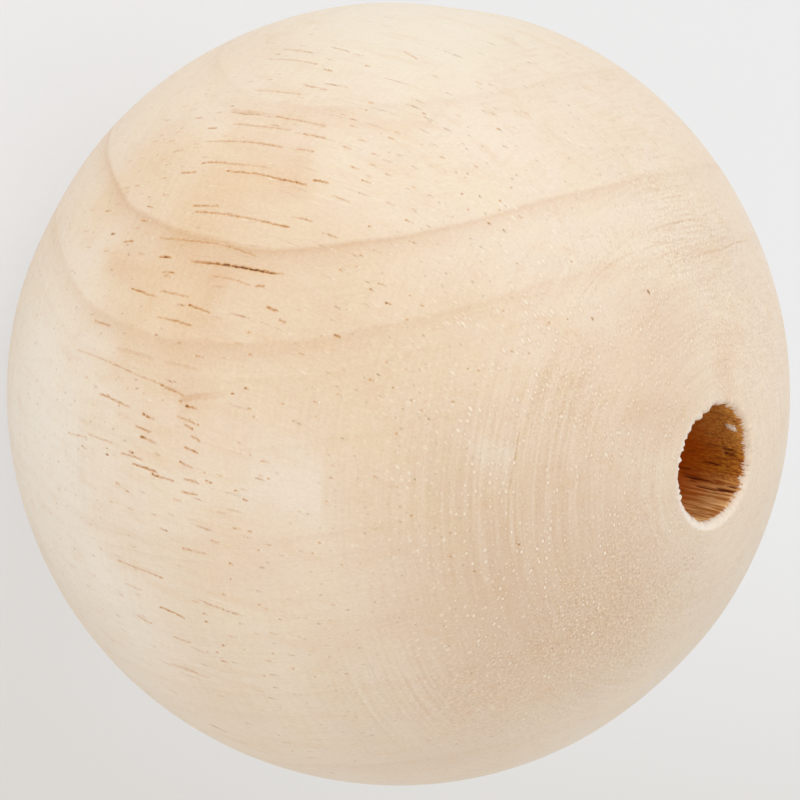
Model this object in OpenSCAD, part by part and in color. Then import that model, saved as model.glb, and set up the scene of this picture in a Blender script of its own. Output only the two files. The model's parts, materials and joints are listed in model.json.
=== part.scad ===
// Wooden bead: a ball turned from one blank, drilled through along its grain.
// The bore runs along Z, and the origin is the centre of the ball.
// All lengths are millimetres.

/* [Ball] */
// Diameter of the turned ball
ball_d = 60; // [30:0.5:120]

/* [Bore] */
// Diameter of the through hole for a cord or dowel
bore_d = 9; // [3:0.1:18]

/* [Edges] */
// Radius that sanding leaves on the rim of each mouth
rim_round = 0.6; // [0.2:0.05:2]

/* [Hidden] */

$fn = 180;

ball_r = ball_d / 2;
bore_r = bore_d / 2;

// The rim's round is tangent to the bore wall and to the ball, from inside both.
round_x = bore_r + rim_round;
round_z = sqrt(pow(ball_r - rim_round, 2) - pow(round_x, 2));

// Where the round runs out on the ball, along the line from the ball's centre.
run_out = ball_r / (ball_r - rim_round);

// Reach of the cutting shapes past the surfaces that they cut.
over = rim_round;

// One half of the ball's section, outside the bore wall.
module drilled_half_disc() {
    intersection() {
        circle(r = ball_r);
        translate([bore_r, -ball_d]) square([ball_d, 2 * ball_d]);
    }
}

// The sharp corner at the upper mouth, less the round that stays.
module rim_waste() {
    difference() {
        polygon([
            [round_x, round_z],
            [bore_r - over, round_z],
            [bore_r - over, ball_r + over],
            [round_x * run_out, ball_r + over],
            [round_x, round_z] * run_out
        ]);
        translate([round_x, round_z]) circle(r = rim_round);
    }
}

// The section that the lathe and the drill leave, to the right of the axis.
module bead_section() {
    difference() {
        drilled_half_disc();
        rim_waste();
        mirror([0, 1]) rim_waste();
    }
}

module bead() {
    color("#e9d3b4") rotate_extrude() bead_section();
}

bead();
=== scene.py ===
# Looks of the wooden bead: a turned, sanded and unfinished ball of rubberwood, drilled along its grain.
import json
import math
from types import SimpleNamespace

import bmesh
import bpy
from mathutils import Matrix, Vector, kdtree, noise


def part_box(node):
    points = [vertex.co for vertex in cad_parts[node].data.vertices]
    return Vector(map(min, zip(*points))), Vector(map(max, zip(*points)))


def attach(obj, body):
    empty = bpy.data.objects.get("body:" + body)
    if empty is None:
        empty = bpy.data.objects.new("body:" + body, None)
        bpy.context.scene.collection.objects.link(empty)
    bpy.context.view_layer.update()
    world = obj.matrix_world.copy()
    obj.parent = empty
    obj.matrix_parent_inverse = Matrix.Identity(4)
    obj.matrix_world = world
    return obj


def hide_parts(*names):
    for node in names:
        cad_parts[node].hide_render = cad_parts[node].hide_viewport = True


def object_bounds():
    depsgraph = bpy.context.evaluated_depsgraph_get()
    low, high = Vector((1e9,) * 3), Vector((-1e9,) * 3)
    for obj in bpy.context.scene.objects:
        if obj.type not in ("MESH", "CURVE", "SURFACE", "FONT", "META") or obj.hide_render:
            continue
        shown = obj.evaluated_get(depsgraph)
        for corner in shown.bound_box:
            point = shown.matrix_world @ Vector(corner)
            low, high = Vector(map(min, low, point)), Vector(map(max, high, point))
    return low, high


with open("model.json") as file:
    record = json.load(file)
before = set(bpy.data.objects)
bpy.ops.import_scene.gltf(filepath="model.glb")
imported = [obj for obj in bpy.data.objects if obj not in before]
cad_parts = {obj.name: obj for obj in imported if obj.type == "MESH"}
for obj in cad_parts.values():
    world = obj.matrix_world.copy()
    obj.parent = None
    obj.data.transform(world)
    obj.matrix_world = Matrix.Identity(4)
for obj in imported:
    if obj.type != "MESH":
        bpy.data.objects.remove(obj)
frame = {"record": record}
cad_low, cad_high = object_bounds()
scene = bpy.context.scene

MM = 0.001

# ---------------------------------------------------------------- sizes, from the frame
BALL_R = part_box("bead")[1].x / MM
BORE_R = frame["record"]["mounts"][0]["dims"]["r_mm"]
RIM_ROUND = 0.6

# Where the rim's round runs out on the ball, and the centre of that round, as (radius, height).
ROUND_X = BORE_R + RIM_ROUND
ROUND_Z = math.sqrt((BALL_R - RIM_ROUND) ** 2 - ROUND_X ** 2)
RUN_OUT_X = ROUND_X * BALL_R / (BALL_R - RIM_ROUND)
RUN_OUT_Z = ROUND_Z * BALL_R / (BALL_R - RIM_ROUND)

# ---------------------------------------------------------------- camera
CAMERA_ELEVATION = 35.1
CAMERA_ROLL = 102.3
CAMERA_DISTANCE = 540.0
VIEW_SIZE = 800
BALL_RADIUS_PX = 391.5
BALL_CENTRE_PX = (398.4, 393.8)

tilt = math.radians(CAMERA_ELEVATION)
roll = math.radians(CAMERA_ROLL)
CAMERA_BACK = Vector((0, -math.cos(tilt), math.sin(tilt)))
level_up = Vector((0, math.sin(tilt), math.cos(tilt)))
CAMERA_RIGHT = math.cos(roll) * Vector((1, 0, 0)) + math.sin(roll) * level_up
CAMERA_UP = CAMERA_BACK.cross(CAMERA_RIGHT)

# Pixels from the picture's centre for a ray at 45 degrees to the view.
FOCAL_PX = BALL_RADIUS_PX * math.sqrt((CAMERA_DISTANCE / BALL_R) ** 2 - 1)
PX_AT_BALL = CAMERA_DISTANCE / FOCAL_PX
CAMERA_PLACE = (CAMERA_BACK * CAMERA_DISTANCE
                + CAMERA_RIGHT * (VIEW_SIZE / 2 - BALL_CENTRE_PX[0]) * PX_AT_BALL
                - CAMERA_UP * (VIEW_SIZE / 2 - BALL_CENTRE_PX[1]) * PX_AT_BALL)


def make_camera():
    data = bpy.data.cameras.new("camera")
    data.sensor_width = 36
    data.lens = FOCAL_PX / VIEW_SIZE * data.sensor_width
    data.clip_start = 0.01
    data.clip_end = 20
    camera = bpy.data.objects.new("camera", data)
    scene.collection.objects.link(camera)
    axes = Matrix((CAMERA_RIGHT, CAMERA_UP, CAMERA_BACK)).transposed().to_4x4()
    camera.matrix_world = Matrix.Translation(CAMERA_PLACE * MM) @ axes
    scene.camera = camera


def on_ball(px, py):
    """The point of the ball, in mm, that the main view shows at a pixel of its 800 x 800 frame."""
    ray = (CAMERA_RIGHT * (px - VIEW_SIZE / 2) - CAMERA_UP * (py - VIEW_SIZE / 2) - CAMERA_BACK * FOCAL_PX)
    ray.normalize()
    half = -CAMERA_PLACE.dot(ray)
    gap = half ** 2 - CAMERA_PLACE.length_squared + BALL_R ** 2
    return (CAMERA_PLACE + ray * (half - math.sqrt(max(gap, 0)))).normalized() * BALL_R


# ---------------------------------------------------------------- colours
def linear(hex_colour):
    """An sRGB hex colour as a linear RGBA value."""
    parts = [int(hex_colour[i:i + 2], 16) / 255 for i in (1, 3, 5)]
    return [c / 12.92 if c <= 0.04045 else ((c + 0.055) / 1.055) ** 2.4 for c in parts] + [1.0]


# ---------------------------------------------------------------- the ball's mesh
SEGMENTS = 288
RINGS = 108
ROUND_STEPS = 8
# Lengths of the wall's rings below each mouth, short where torn fibres need them.
WALL_STEPS = [0.15] * 16 + [0.4] * 9
WALL_CUTS = 12

# Marks that run on: width in mm, then points along it in the main view's frame, with how dark it is there.
# Most are long open pores. The wide and faint ones are smudges, and the last few are scratches of turning.
LONG_PORES = [
    (0.5, [(183, 399, 0.1), (195, 397, 0.14), (210, 396, 0.09), (225, 394, 0.04)]),
    (0.3, [(118, 349, 0.08), (135, 353, 0.14), (152, 359, 0.05)]),
    (0.2, [(165, 362, 0.06), (185, 366, 0.12), (200, 371, 0.08)]),
    (0.35, [(233, 110, 0.1), (250, 112, 0.14), (275, 116, 0.06)]),
    (0.1, [(521, 420, 0.1), (517, 445, 0.25), (513, 468, 0.3), (510, 488, 0.2)]),
    (0.12, [(509, 498, 0.1), (507, 525, 0.12), (507, 550, 0.06)]),
    (0.15, [(191, 261, 0.4), (206, 263, 0.5), (226, 265, 0.9),
            (250, 269, 1.2), (270, 273, 0.8), (283, 274, 0.3)]),
    (0.1, [(227, 171, 0.5), (240, 172, 0.5), (258, 174, 0.5),
           (279, 179, 0.7), (299, 183, 0.8), (307, 185, 0.3)]),
    (0.11, [(202, 163, 0.5), (216, 162, 0.4), (235, 164, 0.3), (272, 168, 0.1)]),
    (0.11, [(196, 212, 0.5), (216, 213, 0.4), (235, 216, 0.4),
            (252, 219, 0.3), (273, 224, 0.5), (289, 227, 0.5)]),
    (0.11, [(194, 206, 0.5), (218, 206, 0.4)]),
    (0.11, [(233, 112, 0.3), (247, 114, 0.45), (270, 115, 0.5), (285, 118, 0.3), (325, 126, 0.25)]),
    (0.1, [(235, 124, 0.3), (257, 126, 0.25), (291, 130, 0.2)]),
    (0.11, [(304, 134, 0.4), (325, 138, 0.4)]),
    (0.11, [(206, 142, 0.2), (231, 141, 0.3), (250, 142, 0.3), (282, 147, 0.45)]),
    (0.11, [(314, 180, 0.5), (328, 183, 0.6)]),
    (0.09, [(293, 217, 0.3), (312, 221, 0.4)]),
    (0.09, [(323, 233, 0.3), (338, 238, 0.3)]),
    (0.09, [(333, 196, 0.3), (349, 202, 0.3)]),
    (0.11, [(208, 128, 0.5), (217, 128, 0.3)]),
    (0.11, [(182, 173, 0.5), (195, 172, 0.4)]),
    (0.1, [(174, 152, 0.3), (183, 149, 0.3)]),
    (0.11, [(124, 242, 0.6), (133, 241, 0.5)]),
    (0.14, [(112, 234, 0.9), (114, 234, 0.7)]),
    (0.14, [(160, 257, 0.6), (165, 257, 0.9), (171, 258, 0.4)]),
    (0.09, [(161, 238, 0.3), (189, 241, 0.4), (221, 244, 0.4), (256, 256, 0.3)]),
    (0.1, [(163, 272, 0.4), (174, 273, 0.5)]),
    (0.09, [(211, 276, 0.3), (231, 279, 0.25), (250, 285, 0.3)]),
    (0.11, [(256, 286, 0.6), (264, 287, 0.5)]),
    (0.11, [(132, 289, 0.6), (139, 291, 0.6), (155, 297, 0.3)]),
    (0.09, [(161, 291, 0.3), (189, 297, 0.4)]),
    (0.11, [(189, 305, 0.8), (197, 308, 0.5), (210, 313, 0.4)]),
    (0.14, [(267, 307, 0.7), (277, 311, 0.5)]),
    (0.1, [(157, 317, 0.3), (176, 321, 0.5), (192, 326, 0.4)]),
    (0.11, [(280, 320, 0.8), (285, 322, 0.4)]),
    (0.1, [(95, 321, 0.4), (110, 326, 0.4)]),
    (0.14, [(335, 335, 0.9), (340, 337, 0.4)]),
    (0.11, [(100, 394, 0.4), (108, 397, 0.5), (120, 403, 0.5), (130, 408, 0.2)]),
    (0.1, [(161, 385, 0.7), (169, 389, 0.4), (184, 396, 0.3)]),
    (0.14, [(180, 401, 0.9), (181, 402, 0.5)]),
    (0.15, [(186, 406, 0.9), (189, 407, 0.5), (197, 409, 0.2)]),
    (0.14, [(143, 414, 1.0), (146, 416, 0.5), (153, 419, 0.3)]),
    (0.11, [(136, 426, 0.4), (143, 429, 0.6), (150, 432, 0.4)]),
    (0.14, [(141, 437, 1.0), (144, 438, 0.5), (155, 443, 0.2)]),
    (0.11, [(184, 447, 0.5), (197, 453, 0.5)]),
    (0.13, [(180, 462, 1.0), (183, 464, 0.4), (192, 468, 0.2)]),
    (0.1, [(177, 416, 0.3), (198, 425, 0.5)]),
    (0.1, [(185, 425, 0.4), (192, 429, 0.6)]),
    (0.1, [(192, 436, 0.5), (199, 441, 0.5)]),
    (0.11, [(121, 453, 0.3), (134, 457, 0.4), (142, 460, 0.2)]),
    (0.12, [(133, 464, 0.5), (145, 468, 0.6), (156, 472, 0.5)]),
    (0.13, [(152, 474, 0.7), (156, 476, 0.7), (173, 481, 0.3)]),
    (0.1, [(184, 479, 0.5), (196, 482, 0.4)]),
    (0.1, [(206, 481, 0.7), (211, 483, 0.5)]),
    (0.1, [(182, 492, 0.6), (197, 495, 0.4)]),
    (0.1, [(219, 393, 0.6), (223, 393, 0.5)]),
    (0.15, [(648, 291, 1.0), (649, 293, 1.0)]),
    (0.1, [(592, 318, 0.5), (593, 320, 0.45)]),
    (0.14, [(518, 544, 0.9), (519, 545, 0.9)]),
    (0.09, [(474, 571, 0.7), (475, 572, 0.7)]),
    (0.08, [(78, 350, 0.25), (100, 358, 0.3), (118, 366, 0.35),
            (140, 376, 0.3), (160, 384, 0.25), (178, 392, 0.25)]),
    (0.09, [(118, 560, 0.35), (132, 566, 0.3), (146, 571, 0.35), (162, 578, 0.45)]),
    (0.09, [(172, 664, 0.35), (190, 671, 0.4), (208, 678, 0.3)]),
    (0.08, [(180, 672, 0.2), (200, 680, 0.2)]),
    (0.12, [(210, 724, 0.5), (218, 728, 0.55), (226, 732, 0.4)]),
    (0.12, [(160, 607, 0.5), (175, 613, 0.55), (184, 618, 0.5)]),
    (0.09, [(138, 616, 0.35), (152, 624, 0.4)]),
    (0.09, [(174, 637, 0.3), (190, 643, 0.35)]),
    (0.09, [(183, 548, 0.6), (190, 550, 0.4), (206, 554, 0.2)]),
    (0.08, [(88, 434, 0.25), (112, 443, 0.3)]),
    (0.08, [(68, 433, 0.3), (86, 437, 0.3)]),
    (0.08, [(125, 583, 0.25), (142, 590, 0.25)]),
    (0.08, [(283, 49, 0.25), (303, 51, 0.3), (313, 53, 0.5)]),
    (0.08, [(269, 59, 0.2), (295, 60, 0.3), (316, 64, 0.4)]),
    (0.08, [(324, 69, 0.4), (332, 71, 0.5)]),
    (0.08, [(332, 47, 0.3), (350, 52, 0.4)]),
    (0.08, [(405, 52, 0.35), (417, 59, 0.3)]),
    (0.08, [(303, 84, 0.3), (315, 87, 0.45), (327, 90, 0.3)]),
    (0.08, [(256, 90, 0.2), (280, 92, 0.3), (300, 94, 0.2)]),
    (0.09, [(298, 149, 0.35), (313, 152, 0.4)]),
    (0.08, [(676, 262, 0.1), (700, 255, 0.2), (720, 250, 0.25), (735, 243, 0.3), (747, 240, 0.15)]),
    (0.1, [(578, 300, 0.06), (592, 282, 0.12), (606, 267, 0.12), (625, 256, 0.08), (650, 247, 0.08),
           (680, 240, 0.12), (700, 238, 0.06)]),
    (0.09, [(650, 230, 0.1), (670, 224, 0.2), (690, 220, 0.3), (700, 220, 0.1)]),
]

# Short open pores, which run with the grain: length in mm, then the middle in the main view's frame and how
# dark.
SHORT_PORES = [
    (0.15, [
        (322, 336, 0.4), (317, 403, 0.5), (317, 417, 0.4), (254, 417, 0.4), (258, 421, 0.5), (251, 456, 0.5),
        (205, 473, 0.8), (269, 479, 0.8), (331, 478, 0.5), (327, 501, 0.7), (334, 466, 0.5), (320, 543, 0.8),
        (313, 553, 0.7), (284, 556, 0.5), (259, 550, 0.7), (342, 565, 0.6), (128, 389, 0.5), (82, 472, 0.5),
        (231, 579, 0.9), (270, 620, 0.4), (307, 618, 0.4), (260, 605, 0.6), (267, 609, 0.6), (334, 605, 0.5),
        (326, 629, 0.5), (300, 637, 0.8), (348, 633, 0.5), (208, 652, 0.5), (218, 653, 1.0), (245, 650, 0.4),
        (274, 654, 0.5), (265, 676, 1.0), (294, 669, 0.9), (316, 677, 0.6), (337, 691, 0.6), (281, 708, 0.4),
        (280, 736, 0.9), (291, 744, 0.7), (293, 751, 0.9), (357, 717, 0.8), (437, 76, 0.5), (367, 110, 0.7),
        (382, 134, 0.5), (423, 145, 0.6), (466, 178, 0.6), (463, 194, 0.7), (512, 188, 0.5), (501, 201, 0.7),
        (500, 210, 0.6), (469, 210, 0.5), (357, 267, 0.6), (501, 246, 0.5), (518, 264, 0.5), (572, 262, 0.6),
        (566, 182, 0.5), (411, 296, 0.5), (347, 310, 0.6), (408, 320, 0.6), (504, 311, 0.4), (550, 323, 0.6),
        (568, 320, 0.7), (387, 362, 0.6), (407, 370, 0.5), (479, 371, 0.7), (468, 369, 0.5), (513, 352, 0.8),
        (530, 354, 0.7), (394, 388, 0.7), (412, 401, 0.7), (427, 401, 0.5), (454, 402, 0.8), (422, 411, 0.6),
        (404, 409, 0.5), (397, 434, 0.8), (333, 478, 0.6), (376, 477, 0.6), (398, 487, 0.6), (451, 496, 0.4),
        (412, 516, 0.7), (401, 522, 0.6), (452, 533, 0.5), (451, 557, 0.6),
    ]),
    (0.35, [
        (301, 310, 0.5), (302, 354, 0.5), (250, 333, 0.7), (251, 355, 0.8), (225, 358, 0.4), (88, 378, 0.5),
        (145, 394, 0.4), (234, 394, 0.9), (247, 389, 0.9), (283, 404, 0.6), (250, 409, 0.7), (240, 443, 0.4),
        (221, 476, 0.4), (262, 476, 0.6), (237, 491, 0.9), (246, 500, 0.9), (300, 512, 0.4), (251, 532, 0.7),
        (232, 564, 0.8), (206, 614, 0.9), (207, 622, 0.9), (242, 624, 0.6), (225, 646, 0.8), (269, 661, 0.7),
        (264, 711, 0.4), (225, 595, 0.6), (118, 484, 0.7), (368, 66, 0.8), (372, 103, 0.8), (425, 114, 0.6),
        (430, 122, 0.5), (459, 116, 0.5), (500, 130, 0.9), (398, 133, 0.4), (390, 153, 0.4), (370, 177, 0.6),
        (443, 158, 0.5), (477, 167, 0.5), (415, 188, 0.5), (432, 196, 0.4), (490, 224, 0.8), (371, 227, 0.5),
        (362, 256, 0.7), (342, 271, 0.8), (372, 290, 0.6), (389, 304, 0.9), (423, 306, 0.5), (372, 380, 0.8),
        (340, 395, 0.5), (316, 402, 0.5), (527, 114, 0.5), (521, 217, 0.6), (415, 210, 0.5),
    ]),
    (0.7, [
        (240, 344, 0.5), (266, 462, 0.6), (222, 513, 0.7), (238, 529, 0.5), (216, 542, 0.6), (245, 490, 0.4),
        (275, 634, 0.5), (225, 662, 0.9), (234, 637, 0.5), (223, 697, 0.4), (250, 724, 0.7), (197, 602, 0.5),
        (345, 115, 0.5), (355, 120, 0.6), (355, 127, 0.5), (364, 141, 0.6), (393, 139, 0.6), (348, 148, 0.6),
        (376, 155, 0.5), (355, 168, 0.7), (374, 166, 0.5), (367, 182, 0.7), (391, 204, 0.6), (410, 222, 0.5),
        (414, 243, 0.4), (378, 252, 0.4), (346, 87, 0.4), (383, 285, 0.5), (480, 84, 0.5), (85, 448, 0.8),
        (200, 357, 0.7), (178, 500, 0.5), (187, 106, 0.4), (194, 110, 0.4), (199, 118, 0.6), (168, 120, 0.5),
        (180, 132, 0.4), (157, 141, 0.5), (173, 141, 0.3), (198, 144, 0.4), (143, 158, 0.4), (131, 161, 0.4),
        (165, 159, 0.3), (183, 159, 0.3), (167, 178, 0.5), (138, 186, 0.7), (128, 188, 0.5), (144, 194, 0.3),
        (167, 195, 0.5), (151, 207, 0.9), (109, 211, 0.9), (120, 204, 0.4), (145, 221, 0.9), (139, 228, 0.4),
        (87, 231, 0.4), (93, 210, 0.4), (90, 247, 0.5), (107, 251, 0.4), (142, 254, 0.6), (73, 271, 0.4),
        (168, 277, 0.6),
    ]),
]
# How deep an open pore is sunk, as a share of its width, where it is darkest.
PORE_DEPTH_SHARE = 0.4
# How far the stain round an open pore spreads, in mm.
PORE_HALO = 0.13
# A short pore's streak, and the round head that it starts from: width in mm, and what darkness adds to it.
STREAK_WIDTH = (0.02, 0.05)
HEAD_WIDTH = (0.03, 0.06)
# A pale speck past a pore's thin end is a painted highlight on the pit's lit edge: its width, and how far it
# lies along and beside the pore.
GLINT_WIDTH = 0.1
GLINT_ALONG = 0.12
GLINT_BESIDE = 0.08
# A painted highlight is written as a pore that is this dark.
GLINT_TONE = -0.9
# How close the mesh is refined to the pores in turn, in mm.
PORE_REACHES = (0.45, 0.28, 0.18)

# Torn fibres in the bore: middle in the main view's frame, then length, width and depth in mm.
TEARS = [
    ((728, 449), 1.5, 0.15, 0.25), ((726, 453), 0.4, 0.2, 0.3), ((732, 454), 0.8, 0.13, 0.2),
    ((725, 490), 2.0, 0.2, 0.3), ((732, 487), 0.9, 0.12, 0.2), ((712, 463), 2.2, 0.12, 0.15),
    ((696, 478), 3.0, 0.12, 0.15), ((706, 488), 2.4, 0.12, 0.15), ((735, 420), 0.6, 0.2, 0.3),
    ((718, 413), 2.0, 0.12, 0.12), ((710, 434), 1.4, 0.14, 0.12),
]

# Pale splinters that stand up from the bore's wall: middle, then length, width and height in mm.
SPLINTERS = [((735, 425), 0.9, 0.5, 0.15), ((730, 423), 0.5, 0.35, 0.1)]

# How far in mm the pressed fibres stay above the floor, so that the two don't share a plane.
FLOOR_GAP = 0.02

# Fibres that stand up at the upper mouth's edge: degrees round it from +X, spread in degrees, and height
# in mm.
RAISED_EDGE = [(117, 40, 0.38), (170, 22, 0.2), (215, 28, 0.2)]

# Where the ball is out of round: place in the main view's frame, height in mm, and spread in degrees.
LUMPS = [
    ((611, 65), 0.26, 24), ((453, 6), -0.2, 7), ((50, 216), -0.2, 10), ((660, 684), -0.18, 12),
]
# From the mouth's rim out to this distance from the axis, in mm, the lumps fade in.
TRUE_ROUND = 9.0


def turn_bead():
    """The ball with its bore: a sphere cut at both mouths, whose edges are rolled in and joined."""
    bpy.ops.object.select_all(action="DESELECT")
    bpy.ops.mesh.primitive_uv_sphere_add(segments=SEGMENTS, ring_count=RINGS, radius=BALL_R * MM)
    bead = bpy.context.object
    bead.name = "turned_bead"
    bpy.ops.object.mode_set(mode="EDIT")
    for side in (1, -1):
        bpy.ops.mesh.select_all(action="SELECT")
        bpy.ops.mesh.bisect(plane_co=(0, 0, side * RUN_OUT_Z * MM), plane_no=(0, 0, side),
                            clear_outer=True, threshold=0.001 * MM)
    bpy.ops.mesh.select_mode(type="EDGE")
    bpy.ops.mesh.select_all(action="DESELECT")
    bpy.ops.mesh.select_non_manifold()

    # Both mouths are worked at once: they are mirror images, so one resize moves both.
    start = math.atan2(RUN_OUT_Z - ROUND_Z, RUN_OUT_X - ROUND_X)
    radius, height = RUN_OUT_X, RUN_OUT_Z
    for step in range(1, ROUND_STEPS + 1):
        turn = start + (math.pi - start) * step / ROUND_STEPS
        radius, height = roll_in(radius, height, ROUND_X + RIM_ROUND * math.cos(turn),
                                 ROUND_Z + RIM_ROUND * math.sin(turn))
    for length in WALL_STEPS:
        radius, height = roll_in(radius, height, BORE_R, height - length)
    bpy.ops.mesh.bridge_edge_loops(number_cuts=WALL_CUTS)
    bpy.ops.mesh.select_all(action="SELECT")
    bpy.ops.mesh.normals_make_consistent(inside=False)
    bpy.ops.object.mode_set(mode="OBJECT")
    return bead


def roll_in(radius, height, new_radius, new_height):
    """Extrudes both mouths' open edges to a ring of a new radius and height."""
    bpy.ops.mesh.extrude_edges_move()
    flat = new_radius / radius
    bpy.ops.transform.resize(value=(flat, flat, new_height / height), center_override=(0, 0, 0))
    return new_radius, new_height


def placed_pores():
    """Every placed pore and painted highlight: its width in mm, and its corners, each with how dark it is
    there.
    """
    pores = [(width, [(on_ball(px, py), dark) for px, py, dark in points]) for width, points in LONG_PORES]
    for length, spots in SHORT_PORES:
        for px, py, dark in spots:
            middle = on_ball(px, py)
            run = (ALONG_GRAIN - ALONG_GRAIN.project(middle)).normalized() * length / 2
            head, tail = middle - run, middle + run
            beside = middle.cross(run).normalized()
            # Past the tail lies a pale speck, a painted highlight on the pit's lit edge.
            glint = tail + run.normalized() * GLINT_ALONG + beside * GLINT_BESIDE
            # A short pore is darkest at its head, painted shade where it dives into the wood, and fades
            # toward its tail.
            pores.append((STREAK_WIDTH[0] + STREAK_WIDTH[1] * dark, [(head, dark), (tail, dark * 0.22)]))
            pores.append((HEAD_WIDTH[0] + HEAD_WIDTH[1] * dark, [(head, dark * 1.3)] * 2))
            pores.append((GLINT_WIDTH, [(glint, GLINT_TONE)] * 2))
    return pores


def along_pore(corners, step):
    """Places at even steps along a pore, in mm, each with how dark the pore is there."""
    places = []
    for (start, dark), (end, end_dark) in zip(corners, corners[1:]):
        count = max(int((end - start).length / step), 1)
        for i in range(count + 1):
            share = i / count
            places.append((start.lerp(end, share).normalized() * BALL_R, dark + (end_dark - dark) * share))
    return places


def tree_of(vertices):
    tree = kdtree.KDTree(len(vertices))
    for vertex in vertices:
        tree.insert(vertex.co / MM, vertex.index)
    tree.balance()
    return tree


def refine_at_pores(bead, pores, reach):
    """Splits the faces that have a corner within reach of a placed pore or speck."""
    bpy.context.view_layer.objects.active = bead
    bpy.ops.object.mode_set(mode="EDIT")
    bpy.ops.mesh.select_mode(type="FACE")
    bpy.ops.mesh.select_all(action="DESELECT")
    shape = bmesh.from_edit_mesh(bead.data)
    shape.verts.ensure_lookup_table()
    tree = tree_of(shape.verts)
    for _, corners in pores:
        for place, _ in along_pore(corners, reach / 2):
            for _, index, _ in tree.find_range(place, reach):
                for face in shape.verts[index].link_faces:
                    face.select = True
    bmesh.update_edit_mesh(bead.data)
    bpy.ops.mesh.subdivide(number_cuts=1)
    bpy.ops.object.mode_set(mode="OBJECT")


def smooth_step(value, low, high):
    share = min(max((value - low) / (high - low), 0), 1)
    return share * share * (3 - 2 * share)


def out_of_round(direction):
    """How far the ball stands proud of a true sphere in a direction, in mm."""
    height = 0
    for pixel, lump, spread in LUMPS:
        angle = math.degrees(direction.angle(on_ball(*pixel)))
        height += lump * math.exp(-(angle / spread) ** 2)
    return height + 0.04 * noise.noise(direction * 2.3) + 0.012 * noise.noise(direction * 9)


def in_bore(px, py):
    """The place on the bore's wall, in mm, that the main view shows through the mouth at a pixel."""
    ray = (CAMERA_RIGHT * (px - VIEW_SIZE / 2) - CAMERA_UP * (py - VIEW_SIZE / 2) - CAMERA_BACK * FOCAL_PX)
    flat, start = Vector(ray.xy), Vector(CAMERA_PLACE.xy)
    half = -start.dot(flat) / flat.length_squared
    gap = half ** 2 - (start.length_squared - BORE_R ** 2) / flat.length_squared
    return CAMERA_PLACE + ray * (half + math.sqrt(max(gap, 0)))


def wear_bead(bead, pores):
    """Moves the mesh from the true form to the real one: out of round, with sunk pores and a torn bore.

    It leaves attributes for the material: how far in mm a place is inside a pore's stain and how dark that
    pore is, below 0 for a pale speck of painted highlight, and how torn, or how much of a splinter, a place
    in the mouth is."""
    mesh = bead.data
    names = ("pore_edge", "pore_dark", "torn", "splinter")
    for name in names:
        mesh.attributes.new(name, "FLOAT", "POINT")
    pore_edge, pore_dark, torn, splinter = [mesh.attributes[name].data for name in names]
    tree = tree_of(mesh.vertices)
    grooves = {}
    for width, corners in pores:
        for place, dark in along_pore(corners, 0.04):
            # A pore is ragged: its middle wobbles, and its width and depth change along it.
            wobble = noise.noise_vector(place * 3.5) * 0.05
            half = width / 2 * (0.9 + 0.5 * noise.noise(place * 3))
            dark *= 0.95 + 0.6 * noise.noise(place * 5)
            for _, index, gap in tree.find_range(place + wobble, half + PORE_HALO):
                inside = half + PORE_HALO - gap
                if inside > grooves.get(index, (0, 0, 0))[0]:
                    grooves[index] = (inside, min(dark, 1), width)
    pits = [(in_bore(*pixel), length, width, depth) for pixel, length, width, depth in TEARS]
    chips = [(in_bore(*pixel), length, width, height) for pixel, length, width, height in SPLINTERS]
    for vertex in mesh.vertices:
        place = vertex.co / MM
        radius = math.hypot(place.x, place.y)
        if radius > RUN_OUT_X + 0.001:
            direction = place.normalized()
            inside, dark, width = grooves.get(vertex.index, (0, 0, 0))
            pore_edge[vertex.index].value = inside
            pore_dark[vertex.index].value = dark
            share = max(dark, 0) * smooth_step(inside, PORE_HALO - 0.05, PORE_HALO + 0.04)
            height = out_of_round(direction) * smooth_step(radius, RUN_OUT_X, TRUE_ROUND)
            vertex.co = direction * (BALL_R + height - share * width * PORE_DEPTH_SHARE) * MM
        else:
            amount, dark, pale = tear_at(place, radius, pits, chips)
            torn[vertex.index].value = dark
            splinter[vertex.index].value = pale
            place += outward(place, radius) * amount
            # Fibres under the bead are pressed flat where it stands on them, just clear of the floor.
            place.z = max(place.z, FLOOR_GAP - ROUND_Z - RIM_ROUND)
            vertex.co = place * MM
    mesh.update()


def outward(place, radius):
    """The direction out of the wood at a place on the bore's wall or its rim."""
    away = Vector((place.x, place.y, 0)) / radius
    side = 1 if place.z > 0 else -1
    rise = abs(place.z) - ROUND_Z
    if rise <= 0:
        return -away
    return (away * (radius - ROUND_X) + Vector((0, 0, side * rise))).normalized()


def tear_at(place, radius, pits, chips):
    """How far torn fibres move a place on the wall or rim, in mm, and how dark or pale they leave it."""
    away = Vector((place.x, place.y, 0)) / radius
    depth = ROUND_Z + RIM_ROUND - abs(place.z)
    on_rim = smooth_step(RUN_OUT_X - radius, 0.05, 0.5)
    fading = 1 - 0.85 * smooth_step(depth, 0.6, 3.5)
    teeth = noise.noise(Vector((away.x * 20, away.y * 20, place.z * 0.5)))
    coarse = noise.noise(Vector((away.x * 5, away.y * 5, place.z * 0.35 + 7)))
    # The edge is more ragged on the side that faces away from +Y.
    amount = on_rim * fading * ((0.18 - 0.05 * away.y) * teeth + 0.07 * coarse)
    pit = max(noise.noise(Vector((away.x * 13, away.y * 13, place.z * 0.5 + 3))) - 0.35, 0)
    amount -= 0.4 * on_rim * pit
    dark = min(2 * pit, 0.6)
    if place.z > 0:
        angle = math.degrees(math.atan2(away.y, away.x))
        for middle, spread, height in RAISED_EDGE:
            turn = (angle - middle + 180) % 360 - 180
            amount += height * on_rim * fading * math.exp(-(turn / spread) ** 2)
    for middle, length, width, deep in pits:
        share = share_of_spot(place, middle, length, width)
        amount -= deep * share
        dark = max(dark, share)
    pale = 0
    for middle, length, width, high in chips:
        share = share_of_spot(place, middle, length, width)
        amount += high * share
        pale = max(pale, share)
    return amount, dark, pale


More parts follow.
